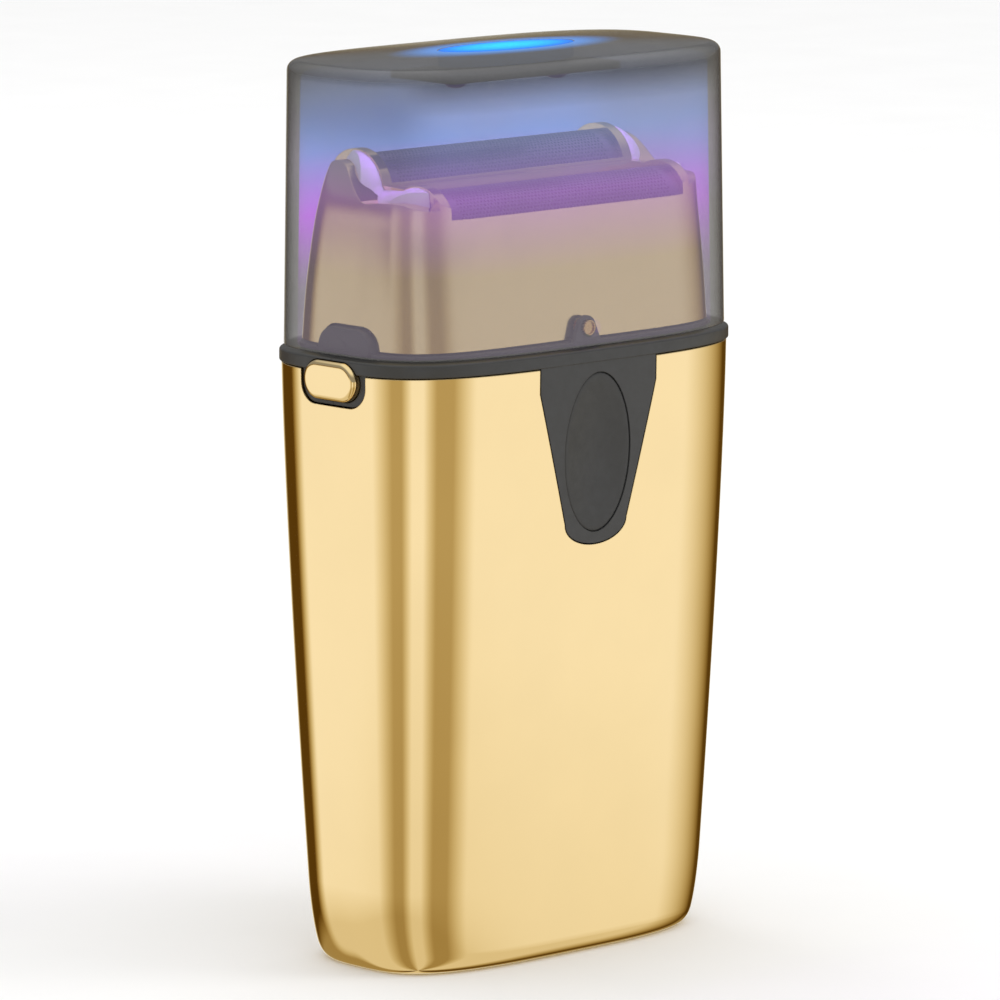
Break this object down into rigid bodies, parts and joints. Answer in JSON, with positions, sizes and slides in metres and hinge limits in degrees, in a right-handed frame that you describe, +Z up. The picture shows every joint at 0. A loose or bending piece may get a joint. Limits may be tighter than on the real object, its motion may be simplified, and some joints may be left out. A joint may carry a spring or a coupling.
{
  "type": "foil shaver",
  "caption": "Cordless twin-foil electric shaver with a gold tapered handle, thumb switch, stepped foil head and smoke-tinted light-up cap.",
  "frame": {"origin": "middle of the base, on the surface the shaver stands on", "axes": "+Z up along the shaver, X across its width, -Y towards the thumb switch"},
  "size_m": [0.0638, 0.036, 0.1195],
  "materials": {
    "gold_plate": "mirror gold plating on metal",
    "black_plastic": "charcoal, fine satin",
    "smoke_clear": "smoke-tinted clear plastic, glossy",
    "steel": "satin",
    "foil_steel": "thin perforated steel, lit violet under the cap",
    "brass": "plated contacts",
    "pale_plastic": "off-white moulding",
    "grey_plastic": "moulded",
    "rubber": "soft seal",
    "board_green": "glass-fibre circuit board",
    "battery_wrap": "shrink sleeve",
    "glow_blue": "lit light guide",
    "led_lens": "clear lens, lit violet"
  },
  "bodies": {
    "handle": {"body_housing": "gold_plate", "base_cover": "black_plastic", "charging_socket": "black_plastic", "base_screw_left": "steel", "base_screw_right": "steel", "collar": "black_plastic", "chassis": "grey_plastic", "battery": "battery_wrap", "battery_contact_top": "brass", "battery_contact_bottom": "brass", "motor_can": "steel", "motor_end_cap": "pale_plastic", "motor_mount": "black_plastic", "motor_screw_left": "steel", "motor_screw_right": "steel", "circuit_board": "board_green", "switch_module": "grey_plastic", "drive_deck": "black_plastic", "drive_seal": "rubber", "deck_screw_left": "steel", "deck_screw_right": "steel", "front_contact_pin": "brass", "rear_contact_pin": "brass", "left_button_spring": "steel", "right_button_spring": "steel"},
    "motor_rotor": {"eccentric_shaft": "steel"},
    "power_switch": {"power_switch": "black_plastic"},
    "left_release": {"left_release_button": "gold_plate"},
    "right_release": {"right_release_button": "gold_plate"},
    "drive_bridge": {"drive_bridge": "pale_plastic", "front_cutter_spring_left": "steel", "front_cutter_spring_right": "steel", "rear_cutter_spring_left": "steel", "rear_cutter_spring_right": "steel"},
    "front_cutter": {"front_cutter": "steel"},
    "rear_cutter": {"rear_cutter": "steel"},
    "foil_head": {"head_shell": "gold_plate", "foil_frame": "pale_plastic", "front_foil": "foil_steel", "rear_foil": "foil_steel"},
    "cap": {"cap_shell": "smoke_clear", "cap_light_window": "glow_blue", "uv_board": "pale_plastic", "uv_led_left": "led_lens", "uv_led_right": "led_lens", "cap_contact_front": "brass", "cap_contact_rear": "brass"}
  },
  "joints": [
    {"name": "motor_spin", "type": "hinge", "parent": "handle", "child": "motor_rotor", "pos_m": [0, 0, 0.0733], "axis": [0, 0, 1], "continuous": true},
    {"name": "switch_press", "type": "slide", "parent": "handle", "child": "power_switch", "axis": [0, 1, 0], "range_m": [0, 0.0008], "stiffness_N_per_m": 900, "springref_m": -0.0003},
    {"name": "left_release_press", "type": "slide", "parent": "handle", "child": "left_release", "axis": [1, 0, 0], "range_m": [0, 0.0015], "stiffness_N_per_m": 700, "springref_m": -0.0004, "deforming": ["left_button_spring"]},
    {"name": "right_release_press", "type": "slide", "parent": "handle", "child": "right_release", "axis": [-1, 0, 0], "range_m": [0, 0.0015], "stiffness_N_per_m": 700, "springref_m": -0.0004, "deforming": ["right_button_spring"]},
    {"name": "bridge_oscillation", "type": "slide", "parent": "handle", "child": "drive_bridge", "axis": [1, 0, 0], "range_m": [-0.0009, 0.0009], "stiffness_N_per_m": 1500},
    {"name": "front_cutter_float", "type": "slide", "parent": "drive_bridge", "child": "front_cutter", "axis": [0, 0, 1], "range_m": [-0.0015, 0], "stiffness_N_per_m": 300, "springref_m": 0.002, "deforming": ["front_cutter_spring_left", "front_cutter_spring_right"]},
    {"name": "rear_cutter_float", "type": "slide", "parent": "drive_bridge", "child": "rear_cutter", "axis": [0, 0, 1], "range_m": [-0.0015, 0], "stiffness_N_per_m": 300, "springref_m": 0.002, "deforming": ["rear_cutter_spring_left", "rear_cutter_spring_right"]},
    {"name": "head_lift", "type": "slide", "parent": "handle", "child": "foil_head", "axis": [0, 0, 1], "range_m": [0, 0.03]},
    {"name": "cap_lift", "type": "slide", "parent": "foil_head", "child": "cap", "axis": [0, 0, 1], "range_m": [0, 0.06]}
  ]
}
